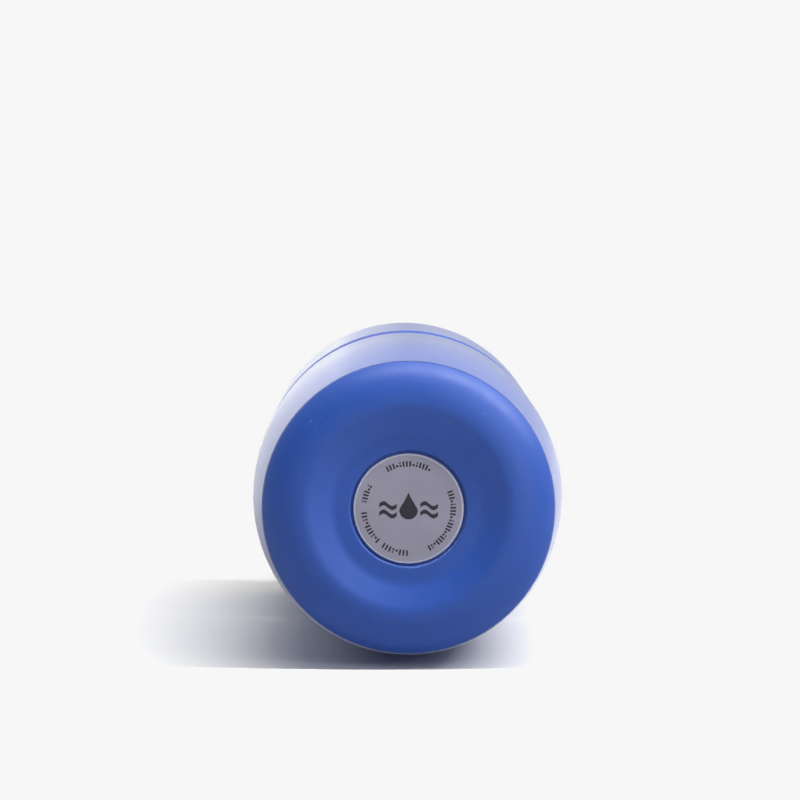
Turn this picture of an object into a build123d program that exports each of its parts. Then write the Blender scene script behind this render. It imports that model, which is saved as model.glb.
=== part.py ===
from build123d import *
import os

# Insulated cycling bottle, standing on its foot ring.
# Millimetres, +Z from the base to the nozzle, origin at the middle of the foot ring's plane.

# Driving dimensions
body_radius = 36.75          # 73.5 mm across, for a standard bottle cage
base_radius = 33.6           # outer radius where the tapered wall meets the base cup
taper_top_z = 55.0           # the wall tapers below this height
seam_z = 5.0                 # joint between the base cup and the outer wall
waist_z = 114.0              # middle of the groove that the cage's tab snaps into
shoulder_z = 190.5           # where the straight wall and the shoulder cone would meet
neck_z = 192.8               # where the shoulder cone and the neck would meet
mouth_z = 205.0              # top of the drinking mouth's lip
neck_radius = 29.1           # outside of the neck, at the thread's root
mouth_radius = 27.3          # inside of the neck
shell_wall = 0.6
flask_wall = 0.5
vacuum_gap = 2.6             # between the two walls
thread_pitch = 4.0
cap_radius = 34.3
tower_radius = 9.6           # the nozzle slides on this tube

# Values worked out from the driving dimensions
flask_offset = shell_wall + vacuum_gap
flask_radius = body_radius - flask_offset
taper_radius = ((taper_top_z - seam_z) ** 2 + (body_radius - base_radius) ** 2) / (
    2 * (body_radius - base_radius)
)
taper_centre = body_radius - taper_radius
flask_neck_radius = mouth_radius + flask_wall
lip_height = 1.0
gasket_bottom = mouth_z + 0.05
gasket_top = gasket_bottom + 2.0
deck_z = gasket_top + 0.05   # underside of the cap's deck, over the gasket


def taper_radius_at(z):
    """Outer radius of the tapered wall at height z."""
    return taper_centre + (taper_radius**2 - (taper_top_z - z) ** 2) ** 0.5


def thread_ridge(root, crest, root_width, crest_width, bury, start_z, turns):
    """One right-hand thread ridge. Its root is buried in the wall that it stands on."""
    inward = 1 if crest > root else -1
    slope = (root_width - crest_width) / abs(crest - root)
    foot, foot_width = root - inward * bury, root_width + slope * bury
    with BuildPart() as ridge:
        with BuildLine() as path:
            Helix(thread_pitch, thread_pitch * turns, root, center=(0, 0, start_z))
        with BuildSketch(Plane.XZ):
            with BuildLine():
                Polyline(
                    (foot, start_z - foot_width / 2),
                    (crest, start_z - crest_width / 2),
                    (crest, start_z + crest_width / 2),
                    (foot, start_z + foot_width / 2),
                    close=True,
                )
            make_face()
        sweep(path=path.line, is_frenet=True)
    return ridge.part


# ---- Outer steel wall: tapered foot, cage groove, shoulder and threaded neck ----
waist_depth = 2.4
waist_half_floor = 4.0
waist_ramp = 4.5
neck_thread_z = 197.0
neck_thread_turns = 1.25
neck_ridge = thread_ridge(neck_radius, neck_radius + 1.2, 2.2, 1.0, 0.2, neck_thread_z, neck_thread_turns)

with BuildPart() as outer_shell:
    with BuildSketch(Plane.XZ):
        with BuildLine():
            TangentArc((body_radius, taper_top_z), (base_radius, seam_z + 0.12), tangent=(0, -1))
            FilletPolyline(
                (body_radius, taper_top_z),
                (body_radius, waist_z - waist_half_floor - waist_ramp),
                (body_radius - waist_depth, waist_z - waist_half_floor),
                (body_radius - waist_depth, waist_z + waist_half_floor),
                (body_radius, waist_z + waist_half_floor + waist_ramp),
                (body_radius, shoulder_z),
                (neck_radius, neck_z),
                (neck_radius, mouth_z - lip_height),
                radius=[4, 4, 4, 4, 8, 1.6],
            )
            offset(amount=shell_wall, side=Side.RIGHT)
        make_face()
    revolve(axis=Axis.Z)
    add(neck_ridge)
outer_shell.part.label = "outer_shell"

# ---- Base cup: disc recess, dished annulus, foot ring and rounded edge ----
base_wall = 0.8
recess_radius = 13.3
recess_floor = 3.1
annulus_z = 1.9
crease_radius = 17.5
foot_inner, foot_outer = 23.1, 24.4
edge_radius = 33.5
port_radius, dimple_floor, dimple_rim, dimple_z = 0.8, 2.2, 3.4, recess_floor + 1.5
cup_top = seam_z - 0.12
joggle_radius = taper_radius_at(seam_z) - shell_wall
flange_inner = joggle_radius - base_wall
flange_top = 9.0
rounding_x, rounding_z = edge_radius - 0.25 - foot_outer, seam_z - 0.7
rounding_radius = (rounding_x**2 + rounding_z**2) / (2 * rounding_z)
flange_root = rounding_radius - (
    (rounding_radius - base_wall) ** 2 - (flange_inner - foot_outer) ** 2
) ** 0.5

with BuildPart() as base_cup:
    with BuildSketch(Plane.XZ):
        with BuildLine():
            FilletPolyline(
                (port_radius, dimple_z),
                (dimple_floor, dimple_z),
                (dimple_rim, recess_floor),
                (recess_radius, recess_floor),
                (recess_radius, annulus_z),
                (crease_radius, annulus_z),
                (foot_inner, 0),
                (foot_outer, 0),
                radius=[0.5, 0.5, 0, 0.4, 5, 5],
            )
            rounding = TangentArc((foot_outer, 0), (foot_outer + rounding_x, rounding_z), tangent=(1, 0))
            corner = TangentArc(rounding @ 1, (edge_radius, cup_top), tangent=rounding % 1)
            Polyline(
                corner @ 1,
                (joggle_radius, cup_top),
                (joggle_radius, flange_top),
                (flange_inner, flange_top),
                (flange_inner, flange_root),
            )
            TangentArc((foot_outer, base_wall), (flange_inner, flange_root), tangent=(1, 0))
            Polyline(
                (foot_outer, base_wall),
                (foot_inner, base_wall),
                (crease_radius, annulus_z + base_wall),
                (recess_radius + base_wall, annulus_z + base_wall),
                (recess_radius + base_wall, recess_floor + base_wall),
                (dimple_rim, recess_floor + base_wall),
                (dimple_floor, dimple_z + base_wall),
                (port_radius, dimple_z + base_wall),
                (port_radius, dimple_z),
            )
        make_face()
    revolve(axis=Axis.Z)
base_cup.part.label = "base_cup"

# ---- Inner flask: tapered like the outer wall, its neck folded out into the mouth's lip ----
weld_z = 20.0
flask_taper = taper_radius - flask_offset
weld_radius = taper_centre + (flask_taper**2 - (taper_top_z - weld_z) ** 2) ** 0.5

with BuildPart() as inner_flask:
    with BuildSketch(Plane.XZ):
        with BuildLine():
            TangentArc((flask_radius, taper_top_z), (weld_radius, weld_z), tangent=(0, -1))
            FilletPolyline(
                (flask_radius, taper_top_z),
                (flask_radius, shoulder_z - vacuum_gap),
                (flask_neck_radius, neck_z - vacuum_gap),
                (flask_neck_radius, mouth_z - lip_height / 2),
                radius=[6, 1.6],
            )
            offset(amount=flask_wall, side=Side.RIGHT)
        make_face()
        with Locations(((mouth_radius + neck_radius) / 2, mouth_z - lip_height / 2)):
            Rectangle(neck_radius - mouth_radius, lip_height)
    revolve(axis=Axis.Z)
    fillet(inner_flask.faces().sort_by(Axis.Z)[-1].edges(), 0.4)
inner_flask.part.label = "inner_flask"

# ---- Inner base: domed bottom, butt-welded to the flask ----
inner_base_z = 11.5

with BuildPart() as inner_base:
    with BuildSketch(Plane.XZ):
        with BuildLine():
            FilletPolyline(
                (weld_radius, weld_z),
                (weld_radius - 0.6, inner_base_z),
                (25, inner_base_z),
                (12, inner_base_z),
                (5, inner_base_z + 1.5),
                (0, inner_base_z + 1.5),
                radius=[5.5, 0, 6, 6],
            )
            offset(amount=flask_wall, side=Side.RIGHT)
        make_face()
    revolve(axis=Axis.Z)
inner_base.part.label = "inner_base"

# ---- Getter: pellet in a clip, welded under the inner base's flat ring ----
getter_x = 18.5
pellet_radius, pellet_height = 4.0, 1.8
clip_sheet = 0.4

with BuildPart() as getter_clip:
    with BuildSketch(Plane.XY.offset(inner_base_z)):
        with Locations((getter_x, 0)):
            SlotOverall(15, 9, rotation=90)
    extrude(amount=-clip_sheet)
    with BuildSketch(Plane.XY.offset(inner_base_z - clip_sheet)):
        with Locations((getter_x, 0)):
            Circle(pellet_radius + clip_sheet)
            Circle(pellet_radius, mode=Mode.SUBTRACT)
    extrude(amount=-pellet_height - clip_sheet)
getter_clip.part.label = "getter_clip"

with BuildPart() as getter_pellet:
    with BuildSketch(Plane.XY.offset(inner_base_z - clip_sheet)):
        with Locations((getter_x, 0)):
            Circle(pellet_radius)
    extrude(amount=-pellet_height)
    fillet(getter_pellet.faces().sort_by(Axis.Z)[0].edges(), 0.3)
getter_pellet.part.label = "getter_pellet"

# ---- Vacuum seal: bead that plugs the pump-out port from below ----
with BuildPart() as vacuum_seal:
    with BuildSketch(Plane.XZ):
        with BuildLine():
            TangentArc((0, dimple_z - 0.8), (1.5, dimple_z), tangent=(1, 0))
            Polyline(
                (0, dimple_z - 0.8),
                (0, dimple_z + base_wall),
                (port_radius, dimple_z + base_wall),
                (port_radius, dimple_z),
                (1.5, dimple_z),
            )
        make_face()
    revolve(axis=Axis.Z)
vacuum_seal.part.label = "vacuum_seal"

# ---- Base disc on its adhesive ring, set just below the annulus round it ----
disc_radius, disc_thickness, disc_bevel = 12.6, 0.8, 0.25
adhesive_thickness = 0.2

with BuildPart() as disc_adhesive:
    with BuildSketch(Plane.XY.offset(recess_floor)):
        Circle(disc_radius - 0.4)
        Circle(dimple_rim + 1, mode=Mode.SUBTRACT)
    extrude(amount=-adhesive_thickness)
disc_adhesive.part.label = "disc_adhesive"

with BuildPart() as base_disc:
    with BuildSketch(Plane.XY.offset(recess_floor - adhesive_thickness)):
        Circle(disc_radius)
    extrude(amount=-disc_thickness)
    chamfer(base_disc.faces().sort_by(Axis.Z)[0].edges(), disc_bevel)
base_disc.part.label = "base_disc"

# ---- Cap shell: gripped skirt with its inner thread, sloping deck and nozzle tower ----
skirt_bottom, skirt_inner = 193.2, 30.9
deck_edge_z, tower_root_z, tower_top = 209.2, 214.8, 231.0
tower_bore = 7.4
liner_seat, under_deck_z = 24.2, 212.2
stop_bead_z, seal_groove_z = 224.6, 227.7
seal_groove_depth, seal_groove_width = 1.0, 2.0
vent_x, vent_radius, boss_radius, boss_bottom = 17.0, 1.2, 5.0, 206.0
flute_count, flute_radius, flute_depth, flute_top = 40, 2.2, 0.7, 203.5

# The cap's ridge sits under the neck's, 0.3 mm clear of it, and follows the same helix.
thread_drop = 1.6
cap_ridge = thread_ridge(skirt_inner, 29.6, 2.2, 0.9, 0.3, neck_thread_z - thread_drop, 1.0)

with BuildPart() as cap_shell:
    with BuildSketch(Plane.XZ):
        with BuildLine():
            FilletPolyline(
                (skirt_inner, skirt_bottom),
                (cap_radius, skirt_bottom),
                (cap_radius, deck_edge_z),
                (tower_radius, tower_root_z),
                (tower_radius, stop_bead_z),
                (tower_radius + 0.45, stop_bead_z + 0.4),
                (tower_radius + 0.45, stop_bead_z + 1.6),
                (tower_radius, stop_bead_z + 2.2),
                (tower_radius, seal_groove_z),
                (tower_radius - seal_groove_depth, seal_groove_z),
                (tower_radius - seal_groove_depth, seal_groove_z + seal_groove_width),
                (tower_radius, seal_groove_z + seal_groove_width),
                (tower_radius, tower_top),
                (tower_bore, tower_top),
                (tower_bore, under_deck_z),
                (tower_bore + 2.8, under_deck_z),
                (liner_seat, deck_edge_z - 0.1),
                (liner_seat, deck_z),
                (skirt_inner, deck_z),
                radius=[0.2, 0.5, 3, 1.5, 0, 0, 0, 0, 0, 0, 0, 0, 0.5, 0.3, 0, 0, 0, 0, 0],
                close=True,
            )
        make_face()
    revolve(axis=Axis.Z)
    with Locations((vent_x, 0, boss_bottom)):
        Cylinder(boss_radius, 5, align=(Align.CENTER, Align.CENTER, Align.MIN))
        Hole(vent_radius)
    with PolarLocations(cap_radius + flute_radius - flute_depth, flute_count):
        with Locations((0, 0, skirt_bottom)):
            Cylinder(
                flute_radius,
                flute_top - skirt_bottom,
                align=(Align.CENTER, Align.CENTER, Align.MIN),
                mode=Mode.SUBTRACT,
            )
        with Locations((0, 0, flute_top)):
            Sphere(flute_radius, mode=Mode.SUBTRACT)
    add(cap_ridge)
cap_shell.part.label = "cap_shell"

# ---- Cap liner: closes the air gap under the deck, with the water tube and the vent tube ----
liner_bottom, liner_radius, liner_wall = 199.0, 26.3, 1.8
liner_bead_z = 204.7
water_tube = 8.4
vent_tube_bottom, vent_tube_bore = 196.0, 3.6

with BuildPart() as cap_liner:
    with BuildSketch(Plane.XZ):
        with BuildLine():
            FilletPolyline(
                (water_tube, liner_bottom),
                (liner_radius, liner_bottom),
                (liner_radius, liner_bead_z - 1.2),
                (liner_radius + 0.6, liner_bead_z - 0.6),
                (liner_radius + 0.6, liner_bead_z - 0.2),
                (liner_radius, liner_bead_z),
                (liner_radius, deck_z),
                (liner_seat + 0.1, deck_z),
                (liner_seat + 0.1, liner_bottom + liner_wall),
                (water_tube + 1.4, liner_bottom + liner_wall),
                (water_tube + 1.4, under_deck_z),
                (water_tube, under_deck_z),
                radius=[0, 1.2, 0, 0, 0, 0, 0, 0, 0.8, 0.8, 0, 0],
                close=True,
            )
        make_face()
    revolve(axis=Axis.Z)
    with BuildSketch(Plane.XY.offset(vent_tube_bottom)):
        with Locations((vent_x, 0)):
            Circle(boss_radius)
    extrude(amount=boss_bottom - vent_tube_bottom)
    with BuildSketch(Plane.XY.offset(vent_tube_bottom)):
        with Locations((vent_x, 0)):
            Circle(vent_tube_bore)
    extrude(amount=boss_bottom - vent_tube_bottom, mode=Mode.SUBTRACT)
cap_liner.part.label = "cap_liner"

# ---- Gasket ring between the mouth's lip and the deck ----
with BuildPart() as cap_gasket:
    with BuildSketch(Plane.XY.offset(gasket_bottom)):
        Circle(30.2)
        Circle(liner_radius + 0.2, mode=Mode.SUBTRACT)
    extrude(amount=gasket_top - gasket_bottom)
    fillet(cap_gasket.edges().filter_by(GeomType.CIRCLE), 0.4)
cap_gasket.part.label = "cap_gasket"

# ---- Valve post: ring and three ribs in the tower, and the head that stops the nozzle's hole ----
post_ring_bottom, post_ring_top, post_ring_wall = 226.5, 230.0, 1.2
stem_radius, head_radius, head_bottom, head_top = 2.2, 3.4, 236.8, 242.2
head_groove_z, head_groove_width, head_groove_depth = 238.3, 1.2, 0.55

with BuildPart() as valve_post:
    with BuildSketch(Plane.XZ):
        with BuildLine():
            FilletPolyline(
                (0, post_ring_bottom - 2),
                (stem_radius, post_ring_bottom - 2),
                (stem_radius, head_bottom - 1.2),
                (head_radius, head_bottom),
                (head_radius, head_groove_z),
                (head_radius - head_groove_depth, head_groove_z),
                (head_radius - head_groove_depth, head_groove_z + head_groove_width),
                (head_radius, head_groove_z + head_groove_width),
                (head_radius, head_top - 1.4),
                (0, head_top),
                radius=[0, 1.2, 0.6, 0.4, 0, 0, 0, 0, 0.8, 0],
                close=True,
            )
        make_face()
    revolve(axis=Axis.Z)
    with BuildSketch(Plane.XY.offset(post_ring_bottom)):
        Circle(tower_bore)
        Circle(tower_bore - post_ring_wall, mode=Mode.SUBTRACT)
        with PolarLocations(tower_bore / 2 + 0.2, 3):
            Rectangle(tower_bore - stem_radius, 1.6)
    extrude(amount=post_ring_top - post_ring_bottom)
valve_post.part.label = "valve_post"

# ---- Ring seals on the post's head and in the tower's groove ----
post_seal_radius, tower_seal_radius = 0.5, 0.77

with BuildPart() as post_seal:
    with Locations((0, 0, head_groove_z + head_groove_width / 2)):
        Torus(head_radius - head_groove_depth + post_seal_radius, post_seal_radius)
post_seal.part.label = "post_seal"

with BuildPart() as tower_seal:
    with Locations((0, 0, seal_groove_z + seal_groove_width / 2)):
        Torus(tower_radius - seal_groove_depth + tower_seal_radius, tower_seal_radius)
tower_seal.part.label = "tower_seal"

# ---- Nozzle: rigid sleeve on the tower, and the soft mouthpiece moulded over it ----
sleeve_bore, sleeve_radius, sleeve_bottom = 10.2, 12.3, 216.5
sleeve_corner, sleeve_neck, sleeve_top = 236.2, 238.6, 241.0
hole_radius = 3.9
tip_radius = 6.8

with BuildPart() as nozzle_sleeve:
    with BuildSketch(Plane.XZ):
        with BuildLine():
            FilletPolyline(
                (tower_radius + 0.15, sleeve_bottom),
                (sleeve_radius, sleeve_bottom),
                (sleeve_radius, sleeve_corner),
                (tip_radius, sleeve_neck),
                (tip_radius, sleeve_top),
                (hole_radius, sleeve_top),
                (hole_radius, sleeve_corner + 0.4),
                (sleeve_bore, sleeve_corner - 2.2),
                (sleeve_bore, sleeve_bottom + 1.9),
                (tower_radius + 0.15, sleeve_bottom + 1.4),
                radius=[0.3, 0.6, 0, 0, 0, 0, 0.4, 1, 0, 0.2],
                close=True,
            )
        make_face()
    revolve(axis=Axis.Z)
nozzle_sleeve.part.label = "nozzle_sleeve"

lip_bottom, tip_top = 220.5, 244.4
with BuildPart() as nozzle_mouthpiece:
    with BuildSketch(Plane.XZ):
        with BuildLine():
            FilletPolyline(
                (sleeve_radius, lip_bottom),
                (14.8, lip_bottom),
                (14.8, lip_bottom + 2.6),
                (13.2, lip_bottom + 5),
                (13.2, lip_bottom + 10),
                (14.1, sleeve_corner - 1.6),
                (12.2, sleeve_neck + 1),
                (9.2, tip_top - 0.8),
                (hole_radius + 0.6, tip_top),
                (hole_radius + 0.4, sleeve_top),
                (tip_radius, sleeve_top),
                (tip_radius, sleeve_neck),
                (sleeve_radius, sleeve_corner),
                radius=[0, 0.8, 0.9, 3, 6, 2.2, 5, 2, 0.6, 0, 0, 0, 0],
                close=True,
            )
        make_face()
    revolve(axis=Axis.Z)
nozzle_mouthpiece.part.label = "nozzle_mouthpiece"

# ---- Air path: duckbill valve, straw socket and straw ----
straw_radius, straw_bore, straw_top, straw_bottom = 3.0, 2.4, 200.5, 22.0
valve_flange = 1.8
bill_radius, bill_top, bill_bottom = 2.1, 201.0, 197.4

with BuildPart() as vent_valve:
    with BuildSketch(Plane.XY.offset(boss_bottom)):
        with Locations((vent_x, 0)):
            Circle(vent_tube_bore)
    extrude(amount=-valve_flange)
    with BuildSketch(Plane.XY.offset(bill_top)):
        with Locations((vent_x, 0)):
            Circle(bill_radius)
    extrude(amount=boss_bottom - valve_flange - bill_top)
    with BuildSketch(Plane.XY.offset(bill_top)):
        with Locations((vent_x, 0)):
            Circle(bill_radius)
    with BuildSketch(Plane.XY.offset(bill_bottom)):
        with Locations((vent_x, 0)):
            Rectangle(3.6, 0.7)
    loft()
    with BuildSketch(Plane.XY.offset(boss_bottom)):
        with Locations((vent_x, 0)):
            Circle(vent_radius)
    extrude(amount=bill_top - boss_bottom - 1, mode=Mode.SUBTRACT)
vent_valve.part.label = "vent_valve"

socket_bottom = vent_tube_bottom - 1.4
with BuildPart() as straw_socket:
    with BuildSketch(Plane.XY.offset(socket_bottom)):
        with Locations((vent_x, 0)):
            Circle(vent_tube_bore + 1)
    extrude(amount=vent_tube_bottom - socket_bottom)
    fillet(straw_socket.faces().sort_by(Axis.Z)[0].edges(), 0.5)
    with BuildSketch(Plane.XY.offset(vent_tube_bottom)):
        with Locations((vent_x, 0)):
            Circle(vent_tube_bore)
    extrude(amount=boss_bottom - valve_flange - vent_tube_bottom)
    with BuildSketch(Plane.XY.offset(socket_bottom)):
        with Locations((vent_x, 0)):
            Circle(straw_radius)
    extrude(amount=straw_top - socket_bottom, mode=Mode.SUBTRACT)
    with BuildSketch(Plane.XY.offset(straw_top)):
        with Locations((vent_x, 0)):
            Circle(straw_bore)
    extrude(amount=boss_bottom - valve_flange - straw_top, mode=Mode.SUBTRACT)
straw_socket.part.label = "straw_socket"

with BuildPart() as vent_straw:
    with BuildSketch(Plane.XY.offset(straw_bottom)):
        with Locations((vent_x, 0)):
            Circle(straw_radius)
            Circle(straw_bore, mode=Mode.SUBTRACT)
    extrude(amount=straw_top - straw_bottom)
    split(bisect_by=Plane(origin=(vent_x, 0, straw_bottom + straw_radius), z_dir=(1, 0, 1)))
vent_straw.part.label = "vent_straw"

# ---- Write one STEP file for each piece ----
pieces = [
    outer_shell,
    base_cup,
    inner_flask,
    inner_base,
    getter_clip,
    getter_pellet,
    vacuum_seal,
    disc_adhesive,
    base_disc,
    cap_shell,
    cap_liner,
    cap_gasket,
    valve_post,
    post_seal,
    tower_seal,
    nozzle_sleeve,
    nozzle_mouthpiece,
    vent_valve,
    straw_socket,
    vent_straw,
]
os.makedirs("parts", exist_ok=True)
for piece in pieces:
    export_step(piece.part, f"parts/{piece.part.label}.step")
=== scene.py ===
import math

import bmesh
import bpy
from mathutils import Matrix, Vector


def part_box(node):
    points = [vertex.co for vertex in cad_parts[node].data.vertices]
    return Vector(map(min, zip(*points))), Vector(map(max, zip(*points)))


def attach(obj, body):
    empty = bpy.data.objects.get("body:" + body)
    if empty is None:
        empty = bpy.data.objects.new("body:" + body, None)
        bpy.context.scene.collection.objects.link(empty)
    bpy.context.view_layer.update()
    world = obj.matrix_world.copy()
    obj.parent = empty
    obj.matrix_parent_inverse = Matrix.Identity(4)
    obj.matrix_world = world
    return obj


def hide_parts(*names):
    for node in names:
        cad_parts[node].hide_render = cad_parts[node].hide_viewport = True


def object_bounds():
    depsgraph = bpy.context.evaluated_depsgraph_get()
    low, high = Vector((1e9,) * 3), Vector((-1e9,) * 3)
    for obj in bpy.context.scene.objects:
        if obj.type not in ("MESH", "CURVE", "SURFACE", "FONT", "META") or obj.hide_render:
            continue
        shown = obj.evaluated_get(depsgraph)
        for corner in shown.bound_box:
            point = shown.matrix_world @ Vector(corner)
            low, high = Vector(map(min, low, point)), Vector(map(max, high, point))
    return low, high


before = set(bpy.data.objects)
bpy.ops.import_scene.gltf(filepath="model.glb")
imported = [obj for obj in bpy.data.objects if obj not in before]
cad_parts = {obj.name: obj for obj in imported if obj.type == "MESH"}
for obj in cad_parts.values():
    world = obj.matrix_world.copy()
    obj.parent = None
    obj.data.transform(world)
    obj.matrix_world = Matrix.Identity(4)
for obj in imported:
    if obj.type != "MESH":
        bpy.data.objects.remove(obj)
cadLow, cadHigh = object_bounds()
mm = 0.001


class Sock:                       # one output of a node, so that shader maths reads as sums
    def __init__(self, finish, out):
        self.finish = finish
        self.out = out

    def op(self, kind, a, b):
        return self.finish.node("ShaderNodeMath", {"operation": kind}, {0: a, 1: b})

    def __add__(self, other):
        return self.op("ADD", self, other)

    def __radd__(self, other):
        return self.op("ADD", other, self)

    def __sub__(self, other):
        return self.op("SUBTRACT", self, other)

    def __rsub__(self, other):
        return self.op("SUBTRACT", other, self)

    def __mul__(self, other):
        return self.op("MULTIPLY", self, other)

    def __rmul__(self, other):
        return self.op("MULTIPLY", other, self)


class Finish:                     # one material, or the world, and the nodes in it
    def __init__(self, name, kept="materials"):
        self.data = getattr(bpy.data, kept).new(name)
        self.data.use_nodes = True
        self.tree = self.data.node_tree
        self.tree.nodes.clear()

    def node(self, kind, settings=None, sockets=None, out=0):
        made = self.tree.nodes.new(kind)
        for key, value in (settings or {}).items():
            setattr(made, key, value)
        for key, value in (sockets or {}).items():
            socket = made.inputs[key]
            if isinstance(value, Sock):
                self.tree.links.new(value.out, socket)
            else:
                socket.default_value = value
        return Sock(self, made.outputs[out])

    def place(self):
        return self.node("ShaderNodeTexCoord", out="Object")

    def close(self, shader, end="ShaderNodeOutputMaterial"):
        self.tree.links.new(shader.out, self.tree.nodes.new(end).inputs["Surface"])
        return self.data


def hexColour(text):              # an sRGB hex colour as the linear values that the shaders want
    parts = [int(text[i:i + 2], 16) / 255 for i in (0, 2, 4)]
    return [p / 12.92 if p <= 0.04045 else ((p + 0.055) / 1.055) ** 2.4 for p in parts] + [1.0]


def grey(level):
    return (level, level, level, 1)


def farFrom(f, point):            # how far the surface is from a point
    return f.node("ShaderNodeVectorMath", {"operation": "DISTANCE"}, {0: f.place(), 1: point}, out="Value")


def heightOf(f, where):           # the part of a direction or place along the bottle
    return f.node("ShaderNodeSeparateXYZ", None, {0: where}, out="Z")


def speckle(f, scale, detail=2.0, rough=0.5, stretch=None):
    where = f.place()
    if stretch:
        where = f.node("ShaderNodeMapping", None, {"Vector": where, "Scale": stretch})
    return f.node("ShaderNodeTexNoise", None, {"Vector": where, "Scale": scale, "Detail": detail,
                                               "Roughness": rough})


def mixed(f, factor, a, b):
    return f.node("ShaderNodeMix", {"data_type": "RGBA"}, {"Factor": factor, 6: a, 7: b}, out=2)


def spread(f, value, low, high, toLow=0.0, toHigh=1.0):
    return f.node("ShaderNodeMapRange", {"interpolation_type": "SMOOTHSTEP"},
                  {"Value": value, "From Min": low, "From Max": high, "To Min": toLow, "To Max": toHigh})


def bumped(f, height, depth):
    return f.node("ShaderNodeBump", None, {"Height": height, "Distance": depth, "Strength": 1.0})


cameraSet = {
    "alongAxis": 1.0348,          # from the eye to the base edge, measured along the bottle's axis
    "aboveAxis": 0.0743,          # the bottle lies on its side, so up is -Y
    "leftOfAxis": 0.0065,
    "pitch": 2.7477, "yaw": 0.2527,   # degrees off the axis, down and to the side
    "sensor": 36, "lens": 204.03,
    "clip": (0.05, 20),
}


def makeCamera(s):
    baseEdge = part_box("outer_shell")[0].z
    data = bpy.data.cameras.new("camera")
    data.lens = s["lens"]
    data.sensor_width = s["sensor"]
    data.clip_start, data.clip_end = s["clip"]
    camera = bpy.data.objects.new("camera", data)
    bpy.context.scene.collection.objects.link(camera)
    ahead = Vector((math.tan(math.radians(s["yaw"])), math.tan(math.radians(s["pitch"])), 1)).normalized()
    right = ahead.cross(Vector((0, -1, 0))).normalized()
    up = right.cross(ahead)
    turn = Matrix((right, up, -ahead)).transposed().to_4x4()
    eye = Vector((-s["leftOfAxis"], -s["aboveAxis"], baseEdge - s["alongAxis"]))
    camera.matrix_world = Matrix.Translation(eye) @ turn
    bpy.context.scene.camera = camera
    print("camera at", [round(v, 4) for v in eye])


makeCamera(cameraSet)

stageSet = {
    "paper": 0.92,                # how bright the floor looks
    "bounce": 0.42,               # how much of the light it gives back to the bottle
    "white": 0.93,                # the brightest tone that the film shows
    "near": 0.20, "far": 0.48,    # where the floor fades into the backdrop, from the bottle's middle
    "middle": 0.1,                # height of that middle, along the bottle
    "glow": 0.06,                 # light that reaches the bottle's underside from the paper round it
    "glowTint": (0.9, 0.94, 1, 1),
    "size": 6.0,
    "gap": 0.0002,                # the floor stands this far off the wall
}


def makeFilm(s):                  # whites above the film's brightest tone are held there
    view = bpy.context.scene.view_settings
    view.view_transform = "Standard"
    view.use_curve_mapping = True
    curve = view.curve_mapping
    points = curve.curves[3].points
    points[1].location = (1.0, s["white"])
    points.new(s["white"], s["white"])
    for p in points:
        p.handle_type = "VECTOR"
    curve.extend = "HORIZONTAL"
    curve.update()


def makeStage(s):
    floorY = cadHigh.y + s["gap"]
    bm = bmesh.new()
    bmesh.ops.create_grid(bm, x_segments=1, y_segments=1, size=s["size"] / 2)
    bmesh.ops.rotate(bm, verts=bm.verts, matrix=Matrix.Rotation(math.radians(90), 3, "X"))
    bmesh.ops.translate(bm, verts=bm.verts, vec=(0, floorY, 0))
    mesh = bpy.data.meshes.new("floor")
    bm.to_mesh(mesh)
    bm.free()
    floor = bpy.data.objects.new("floor", mesh)
    bpy.context.scene.collection.objects.link(floor)
    f = Finish("floor_paper")
    fade = spread(f, farFrom(f, (0, floorY, s["middle"])), s["near"], s["far"])
    seen = f.node("ShaderNodeLightPath", out="Is Camera Ray")
    tone = mixed(f, seen, grey(s["bounce"]), grey(s["paper"]))
    paper = f.node("ShaderNodeBsdfDiffuse", None, {"Color": tone})
    lit = f.node("ShaderNodeEmission", None, {"Color": grey(1), "Strength": s["white"]})
    glow = f.node("ShaderNodeEmission", None, {"Color": s["glowTint"], "Strength": 1.0})
    soft = f.node("ShaderNodeMixShader", None, {0: (1 - seen) * s["glow"], 1: paper, 2: glow})
    ground = f.node("ShaderNodeMixShader", None, {0: fade, 1: soft, 2: lit})
    clear = f.node("ShaderNodeBsdfTransparent")
    back = f.node("ShaderNodeNewGeometry", out="Backfacing")      # seen from below, the floor is clear
    mesh.materials.append(f.close(f.node("ShaderNodeMixShader", None, {0: back, 1: ground, 2: clear})))
    print("floor at y", round(floorY, 4))


makeFilm(stageSet)
makeStage(stageSet)

worldSet = {
    "seen": 0.93,                 # what the camera sees behind the bottle
    "behind": 0.95,               # light from the backdrop's side
    "front": 0.10,                # light from the camera's side
    "turnLow": -0.1, "turnHigh": 0.5,   # where one becomes the other, as the axis part of the direction
}


def makeWorld(s):
    f = Finish("studio", "worlds")
    up = heightOf(f, f.node("ShaderNodeTexCoord", out="Generated"))
    level = spread(f, up, s["turnLow"], s["turnHigh"], s["front"], s["behind"])
    seen = f.node("ShaderNodeLightPath", out="Is Camera Ray")
    strength = level + seen * (s["seen"] - level)
    lamp = f.node("ShaderNodeBackground", None, {"Color": grey(1), "Strength": strength})
    bpy.context.scene.world = f.close(lamp, "ShaderNodeOutputWorld")


makeWorld(worldSet)

# Each lamp: turn round the bottle's axis from +X, tilt from the axis, distance,
# size along and across, watts
lightSet = {
    "key_a": (40, 79, 1.0, 0.03, 0.30, 3.4),
    "key_b": (57, 79, 1.0, 0.03, 0.30, 3.6),
    "key_c": (74, 79, 1.0, 0.03, 0.30, 3.2),
    "key_d": (91, 79, 1.0, 0.03, 0.30, 2.6),
    "key_e": (106, 79, 1.0, 0.03, 0.24, 0.8),
    "fill": (35, 35, 1.2, 0.7, 0.7, 3.2),
}


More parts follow.
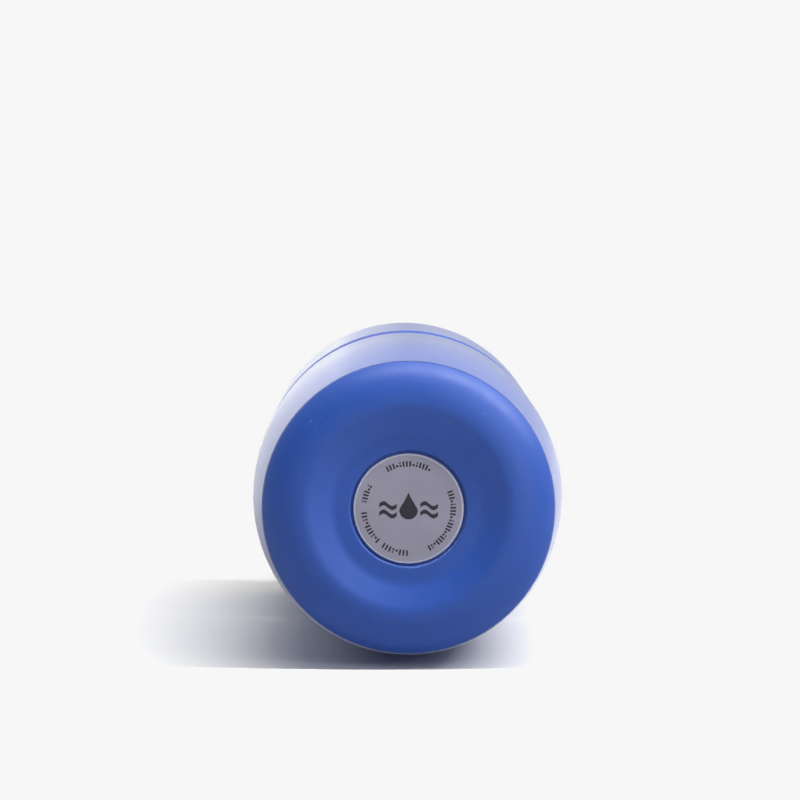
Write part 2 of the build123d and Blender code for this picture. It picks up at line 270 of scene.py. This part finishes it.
def makeLights(s):
    middle = Vector((0, 0, 0.04))             # all lamps point at the lower wall
    for name, (turn, tilt, distance, along, across, watts) in s.items():
        data = bpy.data.lights.new(name, "AREA")
        data.shape = "RECTANGLE"
        data.size, data.size_y = along, across
        data.energy = watts
        a, t = math.radians(turn), math.radians(tilt)
        back = Vector((math.sin(t) * math.cos(a), -math.sin(t) * math.sin(a), -math.cos(t)))
        side = (Vector((0, 0, 1)) - back * back.z).normalized()
        lamp = bpy.data.objects.new(name, data)
        bpy.context.scene.collection.objects.link(lamp)
        lamp.matrix_world = (Matrix.Translation(middle + back * distance)
                             @ Matrix((side, back.cross(side), back)).transposed().to_4x4())
    print("lights", len(s))


makeLights(lightSet)


def dress(mat, *names):           # gives a finish to CAD nodes
    for name in names:
        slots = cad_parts[name].data.materials
        slots.clear()
        slots.append(mat)


coatSet = {
    "blue": (0.022, 0.090, 0.45, 1),
    "deep": (0.020, 0.084, 0.425, 1),
    "sheen": 0.95, "sheenTint": (0.92, 0.93, 1.0, 1),   # the powder's texture at a flat angle
    "worn": (0.45, 0.55, 0.85, 1),
    "sheenRoughness": 0.28,
    "roughness": 0.45,
    "cloud": 45, "patches": 240,  # scales of the slow change of blue and of gloss
    "flecks": 1500, "dust": 2600,   # scales of the worn flecks in a scuff and of the dust
    "grain": 1900, "grainDepth": 0.000012,
    "turned": (30, 30, 3200),     # lines of the lathe on the bare neck
    "maskedAt": 193.1,            # the neck and its thread above this height stay bare, mm
    "maskedEdge": 0.25,
    "steel": (0.56, 0.55, 0.54, 1),
    # small scuffs on the base: middle and reach in mm
    "scuffs": [(-20.8, -18.7, 1.7), (-2.4, -26.9, 0.6), (5.8, -23.7, 0.6), (1.2, 21.0, 1.2)],
    "scuffsAt": 3, "scuffSpread": 2,
}


def makeCoat(s):
    f = Finish("powder_coat")
    tone = mixed(f, spread(f, speckle(f, s["cloud"]), 0.2, 0.8), s["blue"], s["deep"])
    near = 0.0
    for x, y, reach in s["scuffs"]:
        gap = farFrom(f, (x * mm, y * mm, s["scuffsAt"] * mm))
        near = near + spread(f, gap, 0.3 * reach * mm, (reach + s["scuffSpread"]) * mm, 1.0, 0.0)
    worn = near * spread(f, speckle(f, s["flecks"], 1, 0.4, (1, 1, 0.4)), 0.66, 0.71, 0.0, 0.8)
    dust = spread(f, speckle(f, s["dust"], 0), 0.86, 0.89, 0.0, 0.3)
    tone = mixed(f, worn.op("MAXIMUM", worn, dust), tone, s["worn"])
    grain = speckle(f, s["grain"], 2, 0.6)
    rough = spread(f, speckle(f, s["patches"], 3), 0.3, 0.7, s["roughness"] - 0.03, s["roughness"] + 0.05)
    bare = spread(f, heightOf(f, f.place()), s["maskedAt"] * mm, (s["maskedAt"] + s["maskedEdge"]) * mm)
    turned = speckle(f, 1.0, stretch=s["turned"])
    tone = mixed(f, bare, tone, s["steel"])
    rough = rough * (1 - bare) + bare * spread(f, turned, 0.3, 0.7, 0.24, 0.36)
    return f.close(f.node("ShaderNodeBsdfPrincipled", None, {
        "Base Color": tone, "Roughness": rough, "Metallic": bare,
        "Normal": bumped(f, grain, s["grainDepth"]),
        "Sheen Weight": s["sheen"], "Sheen Roughness": s["sheenRoughness"], "Sheen Tint": s["sheenTint"]}))


# Steel: tone, roughness, how much metal, grain across and along the axis, depth of the grain
steelSet = {
    "polished_flask": ((0.56, 0.55, 0.54, 1), (0.62, 0.61, 0.60, 1), 0.26, 1.0, (60, 60, 2600), 0.000006),
    "getter_steel": ((0.42, 0.41, 0.40, 1), (0.30, 0.29, 0.30, 1), 0.42, 1.0, (900, 120, 900), 0.000010),
}


def makeSteel(name, light, dark, roughness, metal, grain, depth):
    f = Finish(name)
    lines = speckle(f, 1.0, 3, 0.6, grain)
    cloud = spread(f, speckle(f, 130, 3), 0.3, 0.7)
    return f.close(f.node("ShaderNodeBsdfPrincipled", None, {
        "Base Color": mixed(f, cloud, light, dark), "Metallic": metal,
        "Roughness": spread(f, lines, 0.25, 0.75, roughness - 0.05, roughness + 0.07),
        "Normal": bumped(f, lines, depth)}))


discSet = {
    "blasted": (0.375, 0.365, 0.465, 1), "darker": (0.345, 0.336, 0.435, 1),
    # the rim's pale tone is a painted highlight on the turned bevel
    "rimWithPaintedHighlight": (0.85, 0.85, 0.95, 1),
    "rimStart": 12.2,             # where the turned bevel and its painted highlight begin, mm from the middle
    "metal": 0.5, "roughness": 0.44,
    "grit": 5200, "cloud": 110,
    "lines": 900,                 # lines of the lathe on the bevel
    "depth": 0.000010,
}


def makeDisc(s):
    f = Finish("blasted_disc")
    flat = f.node("ShaderNodeVectorMath", {"operation": "MULTIPLY"}, {0: f.place(), 1: (1, 1, 0)})
    out = f.node("ShaderNodeVectorMath", {"operation": "LENGTH"}, {0: flat}, out="Value")
    rimWithPaintedHighlight = spread(f, out, s["rimStart"] * mm, (s["rimStart"] + 0.08) * mm)
    grit = speckle(f, s["grit"], 2, 0.7)
    cloud = spread(f, speckle(f, s["cloud"], 3), 0.3, 0.7)
    rings = f.node("ShaderNodeTexWave", {"wave_type": "RINGS", "rings_direction": "Z"},
                   {"Vector": f.place(), "Scale": s["lines"], "Distortion": 1.0})
    bare = mixed(f, cloud, s["blasted"], s["darker"])
    rough = spread(f, grit, 0.3, 0.7, s["roughness"] - 0.05, s["roughness"] + 0.08)
    height = (1 - rimWithPaintedHighlight) * grit + rimWithPaintedHighlight * rings
    return f.close(f.node("ShaderNodeBsdfPrincipled", None, {
        # the bevel's pale tone is a painted highlight; its lower roughness and lathe lines are real
        "Base Color": mixed(f, rimWithPaintedHighlight, bare, s["rimWithPaintedHighlight"]), "Metallic": s["metal"],
        "Roughness": rough - 0.15 * rimWithPaintedHighlight, "Normal": bumped(f, height, s["depth"])}))


# Mouldings: tone, paler tone, roughness, grain, depth of the grain, other constants of the shader
mouldSet = {
    "cap_plastic": ("101113", "1b1c1f", 0.50, 3300, 0.000022, {"Specular IOR Level": 0.45}),
    "liner_plastic": ("2b2d31", "34363b", 0.42, 1500, 0.000010, {}),
    "gasket_silicone": ("8f9499", "a3a8ac", 0.46, 2200, 0.000008,
                        {"Subsurface Weight": 0.25, "Subsurface Radius": (0.002, 0.002, 0.002)}),
    "nozzle_silicone": ("26282c", "303338", 0.52, 2800, 0.000012,
                        {"Sheen Weight": 0.12, "Sheen Roughness": 0.5}),
    "straw_plastic": ("c9d2d6", "dfe6e8", 0.34, 700, 0.000008,
                      {"Transmission Weight": 0.45, "IOR": 1.46}),
    "seal_glass": ("4d3527", "6d4b35", 0.18, 500, 0.000020, {"Coat Weight": 0.5}),
    "foam_adhesive": ("b9b7b0", "8f8d88", 0.80, 3600, 0.000060, {}),
    "getter_metal": ("4b4a4c", "2e2d30", 0.72, 5200, 0.000050, {"Metallic": 0.7}),
}


def makeMoulding(name, tone, pale, roughness, grain, depth, others):
    f = Finish(name)
    cloud = spread(f, speckle(f, 90, 4, 0.6), 0.3, 0.75)
    fine = speckle(f, grain, 2, 0.6)
    values = {"Base Color": mixed(f, cloud, hexColour(tone), hexColour(pale)),
              "Roughness": spread(f, fine, 0.3, 0.7, roughness - 0.06, roughness + 0.08),
              "Normal": bumped(f, fine, depth)}
    values.update(others)
    return f.close(f.node("ShaderNodeBsdfPrincipled", None, values))


coatMat = makeCoat(coatSet)
discMat = makeDisc(discSet)
steel = {name: makeSteel(name, *values) for name, values in steelSet.items()}
mould = {name: makeMoulding(name, *values) for name, values in mouldSet.items()}

dress(coatMat, "outer_shell", "base_cup")
dress(steel["polished_flask"], "inner_flask", "inner_base")
dress(discMat, "base_disc")
dress(steel["getter_steel"], "getter_clip")
dress(mould["getter_metal"], "getter_pellet")
dress(mould["seal_glass"], "vacuum_seal")
dress(mould["foam_adhesive"], "disc_adhesive")
dress(mould["cap_plastic"], "cap_shell", "valve_post", "nozzle_sleeve")
dress(mould["liner_plastic"], "cap_liner", "straw_socket")
dress(mould["gasket_silicone"], "cap_gasket", "post_seal", "tower_seal", "vent_valve")
dress(mould["straw_plastic"], "vent_straw")
print("finishes", 2 + len(steel) + len(mould))


def finishPiece(name, bm, mat, body):
    bmesh.ops.remove_doubles(bm, verts=bm.verts, dist=1e-6)
    bmesh.ops.recalc_face_normals(bm, faces=bm.faces)
    mesh = bpy.data.meshes.new(name)
    bm.to_mesh(mesh)
    bm.free()
    obj = bpy.data.objects.new(name, mesh)
    bpy.context.scene.collection.objects.link(obj)
    obj.data.materials.append(mat)
    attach(obj, body)
    return obj


# Printed marks on the base disc, in mm
markSet = {
    "ring": 10.2,                 # middle of the ring of ticks
    "tall": 1.3,                  # radial height of a tick
    "stroke": 0.40,
    "thick": 0.03, "proud": 0.7,  # the ink, and how much of it stands over the disc's face
    # runs of ticks: from and to, in degrees round the disc as seen from below, up is 90
    "runs": [(62, 118), (150, 171), (-62, 22), (186, 226), (236, 268)],
    "step": 4.3,
    "drop": (2.1, 3.3),           # radius of the drop's round end, height of its point over the middle
    "dropDown": 0.4,
    "waves": (4.7, 4.0, 0.95, 0.55),   # middle, length, stroke, height of a wave
    "rows": (-0.65, 1.25),        # the waves' upper and lower row
    "ink": ("1b1a26", "2c2a38"),
}


def placeTick(bm, s, angle, tall, long, shift=0.0):
    made = bmesh.ops.create_cube(bm, size=1.0)["verts"]
    bmesh.ops.scale(bm, verts=made, vec=(tall * mm, long * mm, s["thick"] * mm))
    bmesh.ops.translate(bm, verts=made, vec=((s["ring"] + shift) * mm, 0, -s["thick"] / 2 * mm))
    bmesh.ops.rotate(bm, verts=made, matrix=Matrix.Rotation(-math.radians(angle), 3, "Z"))


def makeMarks(s):
    bm = bmesh.new()
    roundEnd, point = s["drop"]
    drop = bmesh.ops.create_circle(bm, cap_ends=True, segments=64, radius=roundEnd * mm)["verts"]
    for v in drop:                # the far half is drawn out to a point
        rise = max(-v.co.y / (roundEnd * mm), 0.0)
        v.co.y -= rise**2.2 * (point - roundEnd) * 1.6 * mm
        v.co.x *= 1 - 0.82 * rise**1.7
    bmesh.ops.translate(bm, verts=drop, vec=(0, s["dropDown"] * mm, 0))
    middle, long, stroke, high = s["waves"]
    for side in (-1, 1):
        for row in s["rows"]:
            wave = bmesh.ops.create_grid(bm, x_segments=24, y_segments=1, size=0.5)["verts"]
            bmesh.ops.scale(bm, verts=wave, vec=(long * mm, stroke * mm, 1))
            for v in wave:
                v.co.y += high * mm * math.sin(2 * math.pi * v.co.x / (long * mm))
            bmesh.ops.translate(bm, verts=wave, vec=(side * middle * mm, row * mm, 0))
    up = bmesh.ops.extrude_face_region(bm, geom=bm.faces[:])["geom"]
    bmesh.ops.translate(bm, verts=[g for g in up if isinstance(g, bmesh.types.BMVert)],
                        vec=(0, 0, -s["thick"] * mm))
    for run, (first, last) in enumerate(s["runs"]):
        count = round((last - first) / s["step"])
        for i in range(count + 1):
            angle = first + (last - first) * i / count
            kind = (i * 7 + run * 3) % 5
            if kind == 0:         # a square dot
                placeTick(bm, s, angle, 0.5, 0.5, -0.2)
            elif kind == 3:       # a short tick with a dot over it
                placeTick(bm, s, angle, 0.55, s["stroke"], -0.25)
                placeTick(bm, s, angle, 0.3, s["stroke"], 0.4)
            else:
                placeTick(bm, s, angle, s["tall"], s["stroke"])
    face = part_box("base_disc")[0].z + (1 - s["proud"]) * s["thick"] * mm
    bmesh.ops.translate(bm, verts=bm.verts, vec=(0, 0, face))
    f = Finish("mark_ink")
    dark, pale = s["ink"]
    uneven = spread(f, speckle(f, 2400), 0.3, 0.7)
    ink = f.close(f.node("ShaderNodeBsdfPrincipled", None, {
        "Base Color": mixed(f, uneven, hexColour(dark), hexColour(pale)),
        "Roughness": spread(f, speckle(f, 900), 0.3, 0.7, 0.42, 0.6)}))
    piece = finishPiece("disc_marks", bm, ink, "bottle")
    print("disc marks", len(piece.data.polygons))


makeMarks(markSet)

mouthpieceSet = {
    # radius and height of the moulding's outline, mm, from the lip's underside round to the sleeve
    "outline": [(12.4, 220.62), (13.5, 220.52), (14.4, 220.62), (14.78, 221.2), (14.8, 222.1),
                (14.72, 222.9), (14.2, 223.9), (13.55, 225.0), (13.22, 226.1), (13.15, 228.0),
                (13.2, 230.2), (13.5, 232.0), (13.95, 233.6), (14.08, 234.6), (13.95, 235.5),
                (13.45, 236.8), (12.75, 238.6), (11.9, 240.3), (10.7, 242.0), (9.3, 243.3),
                (7.9, 243.95), (6.4, 244.2), (5.1, 244.34), (4.55, 244.15), (4.36, 243.6),
                (4.32, 242.2), (4.32, 241.1), (6.7, 241.05), (6.85, 238.75), (12.2, 236.45),
                (12.36, 235.6), (12.36, 221.2)],
    "steps": 64,
    "levels": 2,
}


def makeMouthpiece(s):
    bm = bmesh.new()
    points = [bm.verts.new((r * mm, 0, z * mm)) for r, z in s["outline"]]
    for a, b in zip(points, points[1:] + points[:1]):
        bm.edges.new((a, b))
    bmesh.ops.spin(bm, geom=list(bm.verts) + list(bm.edges), cent=(0, 0, 0), axis=(0, 0, 1),
                   angle=2 * math.pi, steps=s["steps"], use_merge=True)
    piece = finishPiece("soft_mouthpiece", bm, mould["nozzle_silicone"], "nozzle")
    for face in piece.data.polygons:
        face.use_smooth = True
    smooth = piece.modifiers.new("soft", "SUBSURF")
    smooth.levels = smooth.render_levels = s["levels"]
    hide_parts("nozzle_mouthpiece")
    print("mouthpiece", len(piece.data.polygons))


makeMouthpiece(mouthpieceSet)
